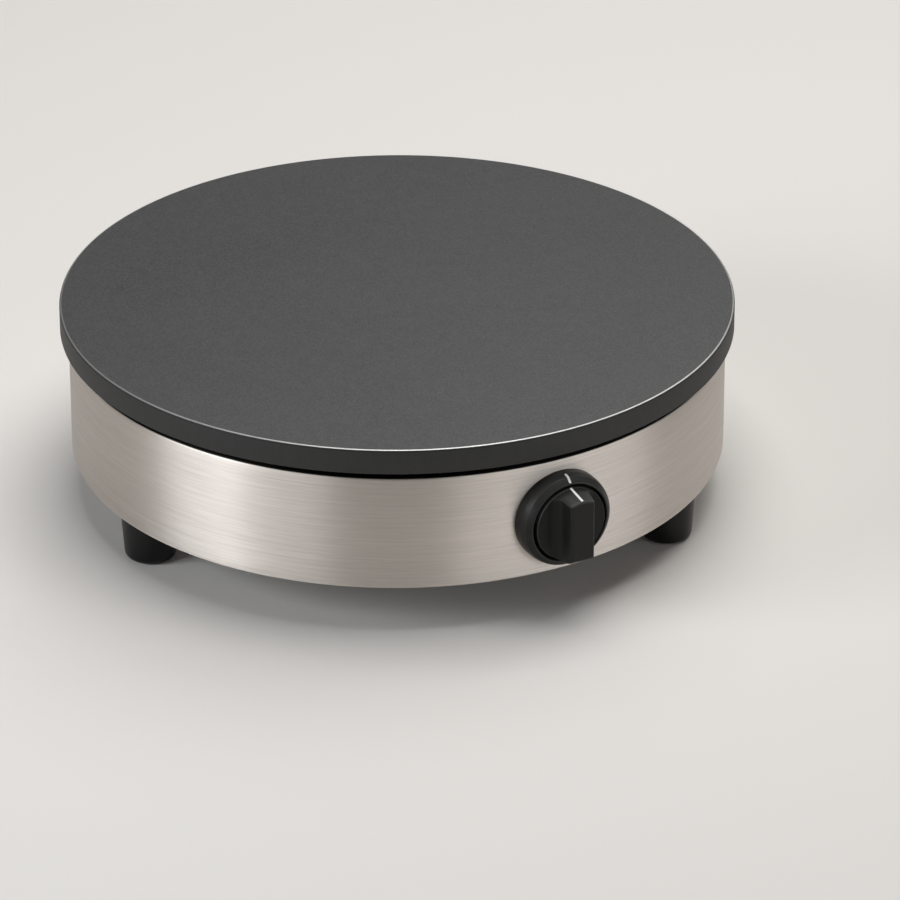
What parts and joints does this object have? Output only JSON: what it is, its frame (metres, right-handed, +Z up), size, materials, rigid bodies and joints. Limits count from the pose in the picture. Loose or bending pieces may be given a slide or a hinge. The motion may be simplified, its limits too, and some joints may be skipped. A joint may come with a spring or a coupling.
{
  "type": "electric crepe maker",
  "caption": "Electric crepe maker: a flat round cast iron griddle on a brushed steel drum, with a thermostat knob and black levelling feet.",
  "frame": {"origin": "on the floor under the griddle's axis", "axes": "+Z up, -Y towards the front, midway between the two front feet; the knob sits 24.2 degrees round from the front towards +X"},
  "size_m": [0.3999, 0.4118, 0.1204],
  "materials": {
    "cast_iron_enamel": "dark grey satin enamel with a fine sandy grain",
    "brushed_stainless": "satin brushed round the drum",
    "base_steel": "plain galvanised sheet",
    "mill_steel": "bare mill finish",
    "zinc_steel": "bright zinc plate",
    "element_sheath": "oxidised stainless sheath",
    "shield_aluminium": "aluminised sheet",
    "ceramic_fibre": "soft white blanket",
    "steatite": "unglazed steatite",
    "foot_plastic": "black moulded, satin",
    "knob_plastic": "black moulded phenolic, satin",
    "white_mark": "white inlay",
    "brass_contact": "plain brass",
    "capillary_copper": "drawn copper",
    "limiter_plastic": "black phenolic",
    "gland_plastic": "black polyamide",
    "seal_rubber": "black rubber",
    "lead_sleeve_brown": "braided glass sleeve, brown",
    "lead_sleeve_blue": "braided glass sleeve, blue",
    "lead_sleeve_green": "braided glass sleeve, green and yellow"
  },
  "bodies": {
    "chassis": {"griddle_plate": "cast_iron_enamel", "plate_studs": "zinc_steel", "support_pillars": "zinc_steel", "pillar_screws": "zinc_steel", "element_inner": "element_sheath", "element_middle": "element_sheath", "element_outer": "element_sheath", "element_pins": "zinc_steel", "element_beads": "steatite", "live_bus_bar": "zinc_steel", "neutral_bus_bar": "zinc_steel", "bus_nuts": "zinc_steel", "clamp_bars": "mill_steel", "clamp_studs": "zinc_steel", "clamp_nuts": "zinc_steel", "heat_shield": "shield_aluminium", "insulation_blanket": "ceramic_fibre", "shield_push_nuts": "zinc_steel", "body_skirt": "brushed_stainless", "base_plate": "base_steel", "base_screws": "zinc_steel", "foot_nuts": "zinc_steel", "dial_bezel": "knob_plastic", "bezel_mark": "white_mark", "bezel_push_nuts": "zinc_steel", "thermostat_bracket": "mill_steel", "thermostat_body": "steatite", "thermostat_screws": "zinc_steel", "thermostat_blades": "brass_contact", "bracket_screws": "zinc_steel", "sensor_bulb": "capillary_copper", "bulb_clip": "mill_steel", "capillary_tube": "capillary_copper", "limiter": "limiter_plastic", "limiter_blades": "brass_contact", "sensor_screws": "zinc_steel", "terminal_block": "steatite", "terminal_screws": "brass_contact", "block_screws": "zinc_steel", "gland_washer": "seal_rubber", "cable_gland": "gland_plastic", "gland_dome": "gland_plastic", "gland_seal": "seal_rubber", "gland_nut": "gland_plastic", "earth_stud": "brass_contact", "earth_nut": "brass_contact", "live_lead": "lead_sleeve_brown", "limiter_lead": "lead_sleeve_brown", "heater_lead": "lead_sleeve_brown", "neutral_lead": "lead_sleeve_blue", "earth_lead": "lead_sleeve_green"},
    "knob_assembly": {"knob": "knob_plastic", "knob_pointer": "white_mark", "thermostat_spindle": "zinc_steel"},
    "front_left_foot": {"foot_front_left": "foot_plastic", "foot_stud_front_left": "zinc_steel"},
    "front_right_foot": {"foot_front_right": "foot_plastic", "foot_stud_front_right": "zinc_steel"},
    "rear_foot": {"foot_rear": "foot_plastic", "foot_stud_rear": "zinc_steel"}
  },
  "joints": [
    {"name": "knob_turn", "type": "hinge", "parent": "chassis", "child": "knob_assembly", "pos_m": [0.07994, -0.17786, 0.0641], "axis": [-0.4099, 0.9121, 0], "range_deg": [0, 270]},
    {"name": "level_front_left", "type": "slide", "parent": "chassis", "child": "front_left_foot", "axis": [0, 0, -1], "range_m": [0, 0.008]},
    {"name": "level_front_right", "type": "slide", "parent": "chassis", "child": "front_right_foot", "axis": [0, 0, -1], "range_m": [0, 0.008]},
    {"name": "level_rear", "type": "slide", "parent": "chassis", "child": "rear_foot", "axis": [0, 0, -1], "range_m": [0, 0.008]}
  ]
}
